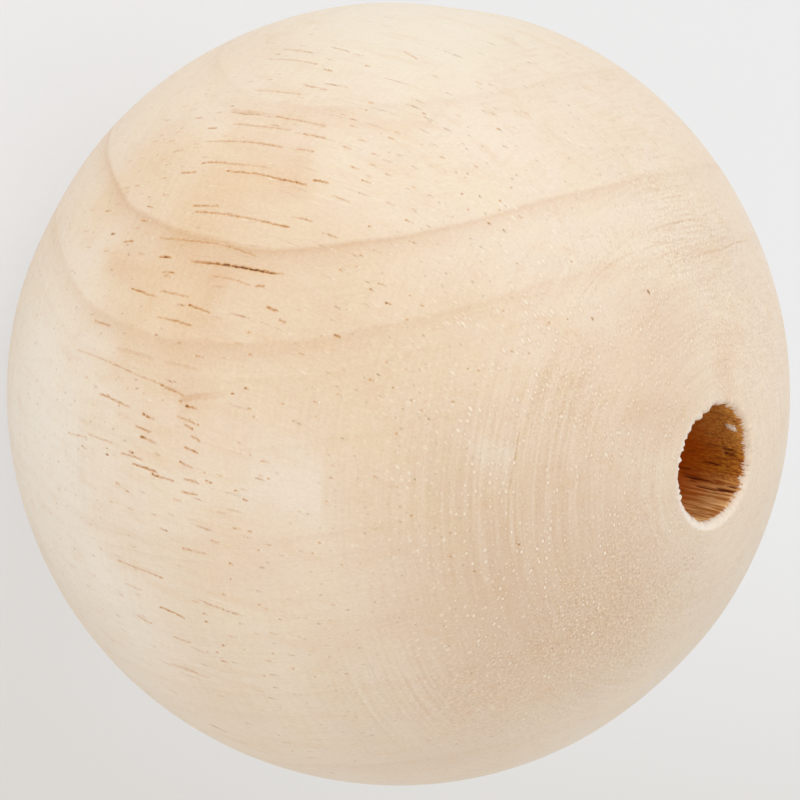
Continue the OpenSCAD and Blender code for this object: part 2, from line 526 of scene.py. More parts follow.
def share_of_spot(place, middle, length, width):
    """From 1 at the middle of a spot on the wall, long along the bore, to 0 round it."""
    offset = place - middle
    round_wall = Vector((offset.x, offset.y, 0)).length / width
    return math.exp(-2 * round_wall ** 2 - (2 * offset.z / length) ** 4)


# ---------------------------------------------------------------- how the wood lies in the ball
# Directions in the bead's frame: along the pores, and from ring to ring at right angles to them.
ALONG_GRAIN = Vector((0.076, 0.196, 0.978)).normalized()
ACROSS_RINGS = Vector((-0.927, -0.347, 0.141))
ACROSS_RINGS = (ACROSS_RINGS - ACROSS_RINGS.dot(ALONG_GRAIN) * ALONG_GRAIN).normalized()
ALONG_RINGS = ALONG_GRAIN.cross(ACROSS_RINGS)
GRAIN_TURN = Matrix((ACROSS_RINGS, ALONG_RINGS, ALONG_GRAIN)).to_euler("XYZ")

# The rings bow: what a ring's height loses per mm and per square mm of the two other coordinates.
RING_TILT_ALONG_RINGS = -0.10
RING_TILT_ALONG_GRAIN = -0.175
RING_BOW_ALONG_RINGS = 0.0035
RING_TWIST = -0.0027
RING_BOW_ALONG_GRAIN = -0.0055

# Growth rings: height in mm, and how dark.
GROWTH_RINGS = [
    (26.0, 0.1), (17.95, 0.5), (11.8, 0.3), (9.5, 0.08), (4.4, 0.06), (-2.9, 0.1),
    (-4.5, 0.08), (-10.5, 0.05), (-16.8, 0.08), (-19.2, 0.08), (-25.5, 0.12), (-31.0, 0.1),
]
# A ring from its soft side to its sharp one: place in mm from its line, and share of its darkness.
RING_FORM = [(-1.9, 0), (-0.7, 0.3), (-0.2, 0.5), (-0.05, 1), (0.04, 1), (0.13, 0)]

# Where the rings bulge: place in the main view's frame, radius in mm, and how far in mm they are pushed.
RING_BULGES = [((110, 162), 14.0, -1.05), ((180, 235), 8.0, -0.65), ((60, 245), 10.0, -0.4)]

# Where the rings are faint: place in the main view's frame, radius in mm, and the share that is left.
FAINT_RINGS = ((700, 165), 12.0, 0.45)

# A colour ramp takes 32 stops at most, so each ramp has only a few rings.
RINGS_PER_RAMP = 4
# The stretch of ring heights, in mm, that a colour ramp covers, centred on the ball.
RAMP_SPAN = 80.0
# A quarter of the ball's girth in mm, from a mouth to the widest place, plus a little.
ARC_SPAN = 48.0

# Turning and sanding marks, whose tone is partly their own and partly painted light and shade of their
# ridges: polar angle from the bore in degrees, half width in mm, and tone, pale above 0.
TURNING_MARKS = [
    (13.3, 0.18, 0.4), (16.5, 0.15, 0.25), (22.0, 0.2, -0.2), (28.5, 0.15, 0.25), (34.0, 0.12, 0.3),
    (36.4, 0.1, -0.4), (37.1, 0.2, 0.3), (47.0, 0.15, 0.2), (64.0, 0.2, 0.2),
]

# Where the turning marks are clearest: place in the main view's frame, and radius in mm.
SHARP_MARKS = [((510, 470), 13.0), ((395, 700), 9.0)]

# Stained and bleached patches, and patches of painted highlight and painted shade: place in the main view's
# frame, radius in mm, colour, and strength.
TONE_AND_LIGHT_PATCHES = [
    ((210, 250), 6.5, "#DDB680", 0.4), ((178, 270), 4.0, "#D89C54", 0.18),
    ((131, 249), 2.2, "#D89C54", 0.25), ((228, 280), 2.0, "#D08C50", 0.24),
    ((194, 395), 1.6, "#D48E4A", 0.18), ((297, 177), 1.8, "#D89C54", 0.15),
    ((168, 305), 2.5, "#F3DFC0", 0.3), ((180, 187), 4.0, "#DDB070", 0.2),
    ((331, 215), 3.0, "#DDB680", 0.2), ((123, 346), 2.5, "#DDB070", 0.2),
    ((195, 690), 6.0, "#E0BA94", 0.25), ((190, 342), 3.0, "#DDA868", 0.22),
    ((205, 408), 4.5, "#E0B47C", 0.15), ((245, 562), 4.0, "#DDB080", 0.18),
    ((735, 392), 2.5, "#D2A272", 0.22), ((115, 540), 3.0, "#DDB070", 0.25),
    ((655, 420), 2.5, "#C9986A", 0.25), ((720, 253), 4.0, "#C89C6C", 0.1),
    ((515, 110), 5.0, "#F7EBDD", 0.3), ((120, 195), 4.0, "#DDB070", 0.25),
    ((175, 140), 3.5, "#DDB070", 0.22), ((255, 165), 4.0, "#DCA85E", 0.25),
    ((125, 300), 4.0, "#DDB070", 0.2), ((140, 395), 4.0, "#DDB070", 0.2),
    ((175, 600), 5.0, "#DDB680", 0.25), ((590, 400), 4.0, "#CD9C68", 0.14),
    ((738, 365), 3.0, "#D2A272", 0.3), ((398, 394), 12.0, "#DBBB92", 0.4),
    # The next two patches are painted shade: darker low on the ball.
    ((550, 600), 13.0, "#CBA580", 0.5), ((430, 745), 10.0, "#D2B294", 0.25),
    ((665, 355), 5.0, "#D2A67C", 0.3), ((300, 300), 7.0, "#E0BC92", 0.2),
    # The last four patches are painted highlights: paler at the ball's outline, at the left, lower left, top
    # and right.
    ((30, 430), 11.0, "#F5EFE3", 0.65), ((110, 610), 10.0, "#F5ECDF", 0.55),
    ((430, 20), 12.0, "#F5EEDB", 0.45), ((770, 400), 8.0, "#F8E4CC", 0.5),
]
# Pale patches that sanding has cut off sharply: as above, and then the polar angle from the bore, in degrees,
# beyond which the patch lies.
CUT_PATCHES = [
    ((290, 488), 3.6, "#F3E9E0", 0.25, 63.6),
    ((497, 462), 1.9, "#F0E6D8", 0.35, 36.8),
]

# Round the bore, in degrees from +X: where the rim's painted highlight is strongest, and where the wall is
# striped, and fuzzy.
LIT_RIM_SIDE = 320
STRIPED_WALL = 30
FUZZY_WALL = 145
# Distances from the axis, in mm, between which the pale lip of the rim, partly pale fibres and partly a
# painted highlight, and the bore's wall, fade in.
RIM_LIP = (5.27, 5.0)
WALL_EDGE = (5.4, 5.15)

# Where the side grain's pores are open and dark: place in the main view's frame, radius in mm, and share.
PORE_ZONES = [
    ((150, 300), 12.0, 0.6), ((150, 450), 12.0, 0.7), ((230, 650), 14.0, 0.6), ((440, 110), 14.0, 0.7),
]

# Where short loose fibres roughen the surface: place in the main view's frame, radius in mm, and strength.
FUZZ_ZONES = [
    ((620, 620), 10.0, 0.45), ((745, 330), 8.0, 0.4), ((690, 225), 8.0, 0.4), ((575, 410), 5.0, 0.25),
    ((380, 700), 6.0, 0.18), ((500, 700), 8.0, 0.28),
]

# Where hairlines show between the rings: place in the main view's frame, radius in mm, and share.
HAIRLINE_ZONES = [
    ((700, 235), 8.0, 0.8), ((775, 330), 8.0, 0.7), ((640, 125), 9.0, 0.6), ((555, 60), 6.0, 0.5),
]

# ---------------------------------------------------------------- materials
# The spacing in mm of the pores, and of the dust-filled ones on the end grain.
PORE_SPACING = 0.62
DUST_SPACING = 0.38

# The kinds of node that the materials use most.
MATH = "ShaderNodeMath"
VECTOR_MATH = "ShaderNodeVectorMath"
MAP_RANGE = "ShaderNodeMapRange"
NOISE = "ShaderNodeTexNoise"
MIX = "ShaderNodeMix"
SPLIT = "ShaderNodeSeparateXYZ"


def live(sockets, key):
    """A node's socket by name, or by its place among those in use."""
    used = [socket for socket in sockets if socket.enabled]
    return used[key] if isinstance(key, int) else next(s for s in used if s.name == key)


def add(tree, kind, feeds=None, out=0, **settings):
    """Adds a node with its settings, sets or links its inputs, and returns the output asked for."""
    node = tree.nodes.new(kind)
    for name, value in settings.items():
        setattr(node, name, value)
    for key, value in (feeds or {}).items():
        socket = live(node.inputs, key)
        if isinstance(value, bpy.types.NodeSocket):
            tree.links.new(value, socket)
        else:
            socket.default_value = value
    if isinstance(out, tuple):
        return [live(node.outputs, key) for key in out]
    return live(node.outputs, out)


def spot_share(tree, place, pixel, outer, inner, share, **settings):
    """A spot of the main view: no share beyond its outer radius, in mm, and all within its inner one."""
    far = add(tree, VECTOR_MATH, {0: place, 1: on_ball(*pixel)}, operation="DISTANCE", out="Value")
    return add(tree, MAP_RANGE, {"Value": far, "From Min": outer, "From Max": inner, "To Max": share},
               **settings)


def stretched_noise(tree, place, per_mm, detail, roughness=0.5, out=0):
    """Noise that changes at its own rate along each axis."""
    scaled = add(tree, VECTOR_MATH, {0: place, 1: per_mm}, operation="MULTIPLY")
    return add(tree, NOISE, {"Vector": scaled, "Scale": 1, "Detail": detail, "Roughness": roughness}, out=out)


def facing_share(tree, at, degrees, low, high):
    """How far a place faces a side of the bore: nothing below the low cosine, and all above the high one."""
    side = Vector((math.cos(math.radians(degrees)), math.sin(math.radians(degrees)), 0))
    facing = add(tree, VECTOR_MATH, {0: at.bearing, 1: side}, operation="DOT_PRODUCT", out="Value")
    return add(tree, MAP_RANGE, {"Value": facing, "From Min": low, "From Max": high})


def wood_places(tree):
    """Where a point of the wood lies, in mm: in the bead's frame, round the bore, and along the grain."""
    at = SimpleNamespace()
    in_metres = add(tree, "ShaderNodeTexCoord", out="Object")
    at.place = add(tree, VECTOR_MATH, {"Vector": in_metres, "Scale": 1 / MM}, operation="SCALE")
    flat = add(tree, VECTOR_MATH, {0: at.place, 1: (1, 1, 0)}, operation="MULTIPLY")
    at.bearing = add(tree, VECTOR_MATH, {0: flat}, operation="NORMALIZE")
    at.from_axis = add(tree, VECTOR_MATH, {0: flat}, operation="LENGTH", out="Value")
    height = add(tree, MATH, {0: add(tree, SPLIT, {0: at.place}, out="Z")}, operation="ABSOLUTE")
    at.polar = add(tree, MATH, {0: at.from_axis, 1: height}, operation="ARCTAN2")
    at.depth = add(tree, MATH, {0: ROUND_Z + RIM_ROUND, 1: height}, operation="SUBTRACT")
    at.grain = add(tree, "ShaderNodeMapping", {"Vector": at.place, "Rotation": GRAIN_TURN},
                   vector_type="POINT")
    at.across, at.sideways, at.along = add(tree, SPLIT, {0: at.grain}, out=("X", "Y", "Z"))

    # The pores wander a little as they run, and their edges are ragged.
    wander = stretched_noise(tree, at.grain, (0.05, 0.05, 0.07), 2, out="Color")
    wander = add(tree, VECTOR_MATH, {0: wander, 1: (0.5, 0.5, 0.5)}, operation="SUBTRACT")
    wander = add(tree, VECTOR_MATH, {0: wander, 1: (1.6, 1.6, 0)}, operation="MULTIPLY")
    at.wandering = add(tree, VECTOR_MATH, {0: at.grain, 1: wander}, operation="ADD")
    ragged = add(tree, NOISE, {"Vector": at.place, "Scale": 6, "Detail": 2})
    at.ragged = add(tree, MAP_RANGE, {"Value": ragged, "To Min": -0.16, "To Max": 0.16})
    # Marks on the mesh have finer ragged edges.
    fine_ragged = add(tree, NOISE, {"Vector": at.place, "Scale": 9, "Detail": 2})
    at.fine_ragged = add(tree, MAP_RANGE, {"Value": fine_ragged, "From Min": 0.3, "From Max": 0.7,
                                           "To Min": -0.05, "To Max": 0.05})
    # Patches have cloudy edges.
    cloud = add(tree, NOISE, {"Vector": at.place, "Scale": 0.15, "Detail": 2}, out="Color")
    cloud = add(tree, VECTOR_MATH, {0: cloud, 1: (-0.5, -0.5, -0.5)}, operation="ADD")
    at.cloud = add(tree, VECTOR_MATH, {0: cloud, 1: (8, 8, 8), 2: at.place}, operation="MULTIPLY_ADD")
    # Near the bore the surface is end grain.
    at.end_grain = add(tree, MAP_RANGE, {"Value": at.polar, "From Min": math.radians(52),
                                         "From Max": math.radians(34)}, interpolation_type="SMOOTHSTEP")
    return at


def grown_pores(tree, at):
    """Pores of the pattern: how open they are, their painted highlight at the rising end, and the zones where
    they are open.
    """
    # They are tubes along the grain, which the surface cuts to streaks, or to dots on end grain.
    tube_at = add(tree, VECTOR_MATH, {0: at.wandering, 1: (0.7, 1, 1)}, operation="MULTIPLY")
    gap, pick, middle = add(tree, "ShaderNodeTexVoronoi", {"Vector": tube_at, "Scale": 1 / PORE_SPACING},
                            out=("Distance", "Color", "Position"), voronoi_dimensions="2D")
    size, dark, shown = add(tree, "ShaderNodeSeparateColor", {0: pick}, out=(0, 1, 2))
    gap = add(tree, MATH, {0: gap, 1: at.ragged}, operation="ADD")
    widest = add(tree, MAP_RANGE, {"Value": at.end_grain, "To Min": 0.15, "To Max": 0.21})
    reach = add(tree, MAP_RANGE, {"Value": size, "To Min": 0.09, "To Max": widest})
    inner = add(tree, MATH, {0: reach, 1: 0.5}, operation="MULTIPLY")
    pore = add(tree, MAP_RANGE, {"Value": gap, "From Min": reach, "From Max": inner})

    # A pore is darker at the end where it dives into the wood, painted shade of the hole, and has a pale
    # painted highlight at the other.
    offset = add(tree, VECTOR_MATH, {0: tube_at, 1: middle}, operation="SUBTRACT")
    out_of_wood = add(tree, VECTOR_MATH, {0: at.grain, 1: (1, 1, 0)}, operation="MULTIPLY")
    out_of_wood = add(tree, VECTOR_MATH, {0: out_of_wood}, operation="NORMALIZE")
    rise = add(tree, VECTOR_MATH, {0: offset, 1: out_of_wood}, operation="DOT_PRODUCT", out="Value")
    mouth = add(tree, MAP_RANGE, {"Value": rise, "From Min": -0.03, "From Max": 0.05})
    shaded_end_share = add(tree, MAP_RANGE, {"Value": mouth, "To Min": 0.25})
    lit_end_share = add(tree, MAP_RANGE, {"Value": mouth, "To Min": 0.6, "To Max": 0.0})

    # Pores come and go along the grain, and some parts of the ball have few that are open.
    broken = stretched_noise(tree, at.wandering, (1.6, 1.6, 0.35), 2)
    broken = add(tree, MAP_RANGE, {"Value": broken, "From Min": 0.36, "From Max": 0.58})
    open_zones = 0.5
    for pixel, radius, share in PORE_ZONES:
        zone = spot_share(tree, at.place, pixel, 1.5 * radius, 0.4 * radius, share)
        open_zones = add(tree, MATH, {0: open_zones, 1: zone}, operation="MAXIMUM")
    side_dark = add(tree, MAP_RANGE, {"Value": dark, "To Min": 0.2, "To Max": 1.1})
    side_grain = add(tree, MAP_RANGE, {"Value": at.end_grain, "To Min": 1.0, "To Max": 0.06})
    open_pores = pore
    for factor in (shaded_end_share, side_dark, broken, open_zones, side_grain):
        open_pores = add(tree, MATH, {0: open_pores, 1: factor}, operation="MULTIPLY")
    lit_pore_end = pore
    for factor in (lit_end_share, shown):
        lit_pore_end = add(tree, MATH, {0: lit_pore_end, 1: factor}, operation="MULTIPLY")
    return open_pores, lit_pore_end, open_zones


def cut_pores(tree, at):
    """Pores that are cut in the mesh: how dark they are, the stain round them, and their pale specks of
    painted highlight.
    """
    # The mesh says how far inside a pore's stain a place lies, in mm, and how dark the pore is.
    pore_edge = add(tree, "ShaderNodeAttribute", out="Fac", attribute_name="pore_edge")
    pore_dark = add(tree, "ShaderNodeAttribute", out="Fac", attribute_name="pore_dark")
    inside = add(tree, MATH, {0: pore_edge, 1: at.fine_ragged}, operation="ADD")
    cut = add(tree, MAP_RANGE, {"Value": inside, "From Min": PORE_HALO - 0.035, "From Max": PORE_HALO + 0.03})
    cut = add(tree, MATH, {0: cut, 1: pore_dark}, operation="MULTIPLY")
    glint = add(tree, MATH, {0: cut, 1: -1.0}, operation="MULTIPLY", use_clamp=True)
    halo = add(tree, MAP_RANGE, {"Value": inside, "From Min": 0.02, "From Max": PORE_HALO, "To Max": 0.75})
    halo = add(tree, MATH, {0: halo, 1: pore_dark}, operation="MULTIPLY", use_clamp=True)
    return cut, halo, glint


def sanding_dust(tree, at, lit_pore_end, glint):
    """Pale dust in the pores, in clusters on the end grain, joined with the pores' painted highlights, and
    the painted shade round the full ones.
    """
    patch = add(tree, NOISE, {"Vector": at.place, "Scale": 0.4, "Detail": 3})
    patch = add(tree, MAP_RANGE, {"Value": patch, "From Min": 0.38, "From Max": 0.6, "To Min": 0.35})
    dust_at = add(tree, VECTOR_MATH, {0: at.wandering, 1: (0.5, 1.05, 1)}, operation="MULTIPLY")
    gap, pick = add(tree, "ShaderNodeTexVoronoi", {"Vector": dust_at, "Scale": 1 / DUST_SPACING},
                    out=("Distance", "Color"), voronoi_dimensions="2D")
    size, tone = add(tree, "ShaderNodeSeparateColor", {0: pick}, out=(0, 1))
    tone = add(tree, MAP_RANGE, {"Value": tone, "To Min": 0.3})
    dusty_grain = add(tree, MAP_RANGE, {"Value": at.polar, "From Min": math.radians(66),
                                        "From Max": math.radians(38)})
    gap = add(tree, MATH, {0: gap, 1: at.ragged}, operation="ADD")
    reach = add(tree, MAP_RANGE, {"Value": size, "To Min": 0.08, "To Max": 0.27})
    inner = add(tree, MATH, {0: reach, 1: 0.5}, operation="MULTIPLY")
    dust_and_glint = add(tree, MAP_RANGE, {"Value": gap, "From Min": reach, "From Max": inner})
    for factor in (dusty_grain, tone):
        dust_and_glint = add(tree, MATH, {0: dust_and_glint, 1: factor}, operation="MULTIPLY")
    # Here the pores' painted highlights, at their rising ends and as pale specks, join the real dust.
    dust_and_glint = add(tree, MATH, {0: lit_pore_end, 1: dust_and_glint}, operation="MAXIMUM")
    dust_and_glint = add(tree, MATH, {0: dust_and_glint, 1: patch}, operation="MULTIPLY")
    dust_and_glint = add(tree, MATH, {0: dust_and_glint, 1: glint}, operation="MAXIMUM")
    shade_reach = add(tree, MATH, {0: reach, 1: 0.25}, operation="ADD")
    shade = add(tree, MAP_RANGE, {"Value": gap, "From Min": shade_reach, "From Max": reach, "To Max": 0.3})
    for factor in (tone, patch, at.end_grain):
        shade = add(tree, MATH, {0: shade, 1: factor}, operation="MULTIPLY")
    return dust_and_glint, shade


def growth_rings(tree, at):
    """Growth rings, and the hairlines of softer cells that run between them in patches."""
    sway = stretched_noise(tree, at.grain, (0.1, 0.1, 0.1), 3)
    sway = add(tree, MAP_RANGE, {"Value": sway, "To Min": -0.5, "To Max": 0.5})
    age = add(tree, MATH, {0: at.across, 1: sway}, operation="ADD")
    bows = (
        (RING_TILT_ALONG_RINGS, at.sideways, 1.0), (RING_TILT_ALONG_GRAIN, at.along, 1.0),
        (RING_BOW_ALONG_RINGS, at.sideways, at.sideways), (RING_TWIST, at.sideways, at.along),
        (RING_BOW_ALONG_GRAIN, at.along, at.along),
    )
    for factor, one, other in bows:
        product = add(tree, MATH, {0: one, 1: other}, operation="MULTIPLY")
        age = add(tree, MATH, {0: product, 1: factor, 2: age}, operation="MULTIPLY_ADD")
    for pixel, radius, push in RING_BULGES:
        bulge = spot_share(tree, at.place, pixel, radius, 0.25 * radius, push,
                           interpolation_type="SMOOTHSTEP")
        age = add(tree, MATH, {0: age, 1: bulge}, operation="ADD")
    rings = 0.0
    on_ramp = add(tree, MATH, {0: age, 1: 1 / RAMP_SPAN, 2: 0.5}, operation="MULTIPLY_ADD")
    for first in range(0, len(GROWTH_RINGS), RINGS_PER_RAMP):
        ramp = add(tree, "ShaderNodeValToRGB", {0: on_ramp})
        set_ring_stops(ramp.node.color_ramp, GROWTH_RINGS[first:first + RINGS_PER_RAMP])
        rings = add(tree, MATH, {0: rings, 1: ramp}, operation="MAXIMUM")
    fade = add(tree, MAP_RANGE, {"Value": at.polar, "From Min": math.radians(30),
                                 "From Max": math.radians(70), "To Min": 0.4})
    pixel, radius, left = FAINT_RINGS
    far = add(tree, VECTOR_MATH, {0: at.place, 1: on_ball(*pixel)}, operation="DISTANCE", out="Value")
    faint = add(tree, MAP_RANGE, {"Value": far, "From Min": 0.3 * radius, "From Max": radius, "To Min": left})
    for factor in (fade, faint):
        rings = add(tree, MATH, {0: rings, 1: factor}, operation="MULTIPLY")

    hair_at = add(tree, "ShaderNodeCombineXYZ", {"X": age, "Y": at.sideways, "Z": at.along})
    hairlines = stretched_noise(tree, hair_at, (3.6, 0.3, 0.15), 2)
    hairlines = add(tree, MAP_RANGE, {"Value": hairlines, "From Min": 0.5, "From Max": 0.62, "To Max": 0.2})
    patch = add(tree, NOISE, {"Vector": at.grain, "Scale": 0.13, "Detail": 2})
    patch = add(tree, MAP_RANGE, {"Value": patch, "From Min": 0.45, "From Max": 0.65, "To Min": 0.08,
                                  "To Max": 0.35})
    for pixel, radius, share in HAIRLINE_ZONES:
        zone = spot_share(tree, at.place, pixel, radius, 0.4 * radius, share)
        patch = add(tree, MATH, {0: patch, 1: zone}, operation="MAXIMUM")
    return rings, add(tree, MATH, {0: hairlines, 1: patch}, operation="MULTIPLY")


def turning_marks(tree, at):
    """Turning marks, which run round the bore and fade in and out: pale above 0 and dark below, partly their
    own tone, partly painted light and shade.
    """
    arc = add(tree, MATH, {0: at.polar, 1: BALL_R}, operation="MULTIPLY")
    on_ramp = add(tree, MATH, {0: arc, 1: 1 / ARC_SPAN}, operation="MULTIPLY")
    ramp = add(tree, "ShaderNodeValToRGB", {0: on_ramp})
    set_mark_stops(ramp.node.color_ramp)
    bearing_x, bearing_y = add(tree, SPLIT, {0: at.bearing}, out=("X", "Y"))
    fine_at = add(tree, "ShaderNodeCombineXYZ", {"X": bearing_x, "Y": bearing_y, "Z": arc})
    fine = stretched_noise(tree, fine_at, (2, 2, 3), 3, 0.6)
    fine = add(tree, MAP_RANGE, {"Value": fine, "From Min": 0.35, "From Max": 0.65, "To Min": -0.11,
                                 "To Max": 0.11})
    marks = add(tree, MATH, {0: ramp, 1: 0.5}, operation="SUBTRACT")
    marks = add(tree, MATH, {0: marks, 1: fine}, operation="ADD")
    fade = add(tree, NOISE, {"Vector": at.place, "Scale": 0.12, "Detail": 2})
    fade = add(tree, MAP_RANGE, {"Value": fade, "From Min": 0.35, "From Max": 0.6, "To Max": 0.8})
    for pixel, radius in SHARP_MARKS:
        sharp = spot_share(tree, at.place, pixel, radius, 0.3 * radius, 1.6)
        fade = add(tree, MATH, {0: fade, 1: sharp}, operation="MAXIMUM")
    near_bore = add(tree, MAP_RANGE, {"Value": at.polar, "From Min": math.radians(72),
                                      "From Max": math.radians(30), "To Min": 0.6})
    for factor in (fade, near_bore):
        marks = add(tree, MATH, {0: marks, 1: factor}, operation="MULTIPLY")
    return marks


def mouth_shares(tree, at):
    """How much of the drilled wall, with its torn edge, and of the rim's pale lip, partly pale fibres and
    partly a painted highlight, a place shows.
    """
    lit_rim_side = facing_share(tree, at, LIT_RIM_SIDE, -0.3, 0.7)
    tear = stretched_noise(tree, at.place, (4.5, 4.5, 0.8), 3, 0.65)
    tear = add(tree, MAP_RANGE, {"Value": tear, "To Min": -0.8, "To Max": 0.8})
    torn_depth = add(tree, MATH, {0: at.depth, 1: tear}, operation="ADD")
    starts = add(tree, MAP_RANGE, {"Value": lit_rim_side, "To Min": 0.25, "To Max": 0.5})
    full = add(tree, MATH, {0: starts, 1: 0.18}, operation="ADD")
    wall = add(tree, MAP_RANGE, {"Value": torn_depth, "From Min": starts, "From Max": full},
               interpolation_type="SMOOTHSTEP")
    in_mouth = add(tree, MAP_RANGE, {"Value": at.from_axis, "From Min": WALL_EDGE[0],
                                     "From Max": WALL_EDGE[1]})
    wall = add(tree, MATH, {0: wall, 1: in_mouth}, operation="MULTIPLY")
    rim_edge = add(tree, MATH, {0: at.ragged, 1: 0.8, 2: at.from_axis}, operation="MULTIPLY_ADD")
    rim = add(tree, MAP_RANGE, {"Value": rim_edge, "From Min": RIM_LIP[0], "From Max": RIM_LIP[1],
                                "To Max": 0.5}, interpolation_type="SMOOTHSTEP")
    return wall, add(tree, MATH, {0: rim, 1: lit_rim_side}, operation="MULTIPLY")


def drilled_wood(tree, at):
    """The bore's wall: the height of its fibres, and its colour, with painted light deeper in."""
    fibre = stretched_noise(tree, at.place, (10, 10, 0.5), 4, 0.65)
    fleck = stretched_noise(tree, at.place, (7, 7, 3), 3, 0.7)
    fibre = add(tree, MIX, {"Factor": 0.4, "A": fibre, "B": fleck})
    striped = facing_share(tree, at, STRIPED_WALL, 0.6, 0.95)
    stripes = stretched_noise(tree, at.place, (4.5, 4.5, 0.2), 3, 0.6)
    fibre = add(tree, MIX, {"Factor": striped, "A": fibre, "B": stripes})
    fibre = add(tree, MAP_RANGE, {"Value": fibre, "From Min": 0.43, "From Max": 0.57})
    fuzzy = facing_share(tree, at, FUZZY_WALL, 0.72, 0.94)
    fuzzy_depth = add(tree, MAP_RANGE, {"Value": at.depth, "From Min": 7.0, "From Max": 3.5})
    fuzzy_fleck = add(tree, MAP_RANGE, {"Value": fleck, "From Min": 0.44, "From Max": 0.6, "To Min": 0.25,
                                        "To Max": 0.85})
    for factor in (fuzzy_depth, fuzzy_fleck):
        fuzzy = add(tree, MATH, {0: fuzzy, 1: factor}, operation="MULTIPLY")
    # Deeper in the bore the wall is painted a brighter, stronger orange: painted light where the bore lies in
    # shade.
    deep = add(tree, MAP_RANGE, {"Value": at.depth, "From Min": 2.0, "From Max": 6, "To Max": 0.8})
    torn = add(tree, "ShaderNodeAttribute", out="Fac", attribute_name="torn")
    torn = add(tree, MAP_RANGE, {"Value": torn, "From Min": 0.4, "From Max": 0.8})
    splinter = add(tree, "ShaderNodeAttribute", out="Fac", attribute_name="splinter")
    splinter = add(tree, MATH, {0: at.fine_ragged, 1: 4.0, 2: splinter}, operation="MULTIPLY_ADD")
    splinter = add(tree, MAP_RANGE, {"Value": splinter, "From Min": 0.4, "From Max": 0.6})
    light, dark = [
        add(tree, MIX, {"Factor": striped, "A": linear(plain), "B": linear(stripe)}, data_type="RGBA")
        for plain, stripe in (("#D8922A", "#FFCE8C"), ("#9C4600", "#BE7630"))
    ]
    colour = add(tree, MIX, {"Factor": fibre, "A": dark, "B": light}, data_type="RGBA")
    for share, over in ((deep, "#EE8000"), (torn, "#7A3206"), (fuzzy, "#F4B458"), (splinter, "#FFF2DC")):
        colour = add(tree, MIX, {"Factor": share, "A": colour, "B": linear(over)}, data_type="RGBA")
    return fibre, colour


def bare_wood(tree, at):
    """The ground colour, with its fibres, its stained, bleached and cut-off patches, and patches of painted
    light and shade.
    """
    fibre = stretched_noise(tree, at.wandering, (5, 5, 0.6), 3)
    fibre = add(tree, MAP_RANGE, {"Value": fibre, "From Min": 0.3, "From Max": 0.7})
    ground = add(tree, MIX, {"Factor": fibre, "A": linear("#EDDABF"), "B": linear("#F0DEC7")},
                 data_type="RGBA")
    hue = add(tree, NOISE, {"Vector": at.grain, "Scale": 0.3, "Detail": 3})
    hue = add(tree, MAP_RANGE, {"Value": hue, "From Min": 0.4, "From Max": 0.62, "To Max": 0.6})
    ground = add(tree, MIX, {"Factor": hue, "A": ground, "B": linear("#EEDCC9")}, data_type="RGBA")
    # A patch without a cut edge is cut at nothing.
    for pixel, radius, colour, share, *cut in TONE_AND_LIGHT_PATCHES + CUT_PATCHES:
        cover = spot_share(tree, at.cloud, pixel, 1.6 * radius, 0.2 * radius, share,
                           interpolation_type="SMOOTHSTEP")
        for edge in cut:
            beyond = add(tree, MAP_RANGE, {"Value": at.polar, "From Min": math.radians(edge),
                                           "From Max": math.radians(edge + 0.6)})
            cover = add(tree, MATH, {0: cover, 1: beyond}, operation="MULTIPLY")
        ground = add(tree, MIX, {"Factor": cover, "A": ground, "B": linear(colour)}, data_type="RGBA")
    return ground


def loose_fibres(tree, at):
    """Short loose fibres: their height, their tone, and how much of them each part of the ball has."""
    fleck, hue = stretched_noise(tree, at.wandering, (6, 6, 3), 3, 0.7, out=(0, 1))
    tone = add(tree, MIX, {"Factor": 0.25, "A": fleck, "B": hue}, data_type="RGBA")
    tone = add(tree, VECTOR_MATH, {0: tone, 1: (4, 4, 4), 2: (-1.5, -1.5, -1.5)}, operation="MULTIPLY_ADD")
    fuzz = 0.13
    for pixel, radius, share in FUZZ_ZONES:
        zone = spot_share(tree, at.cloud, pixel, 1.4 * radius, 0.3 * radius, share,
                          interpolation_type="SMOOTHSTEP")
        fuzz = add(tree, MATH, {0: fuzz, 1: zone}, operation="MAXIMUM")
    return fleck, tone, fuzz


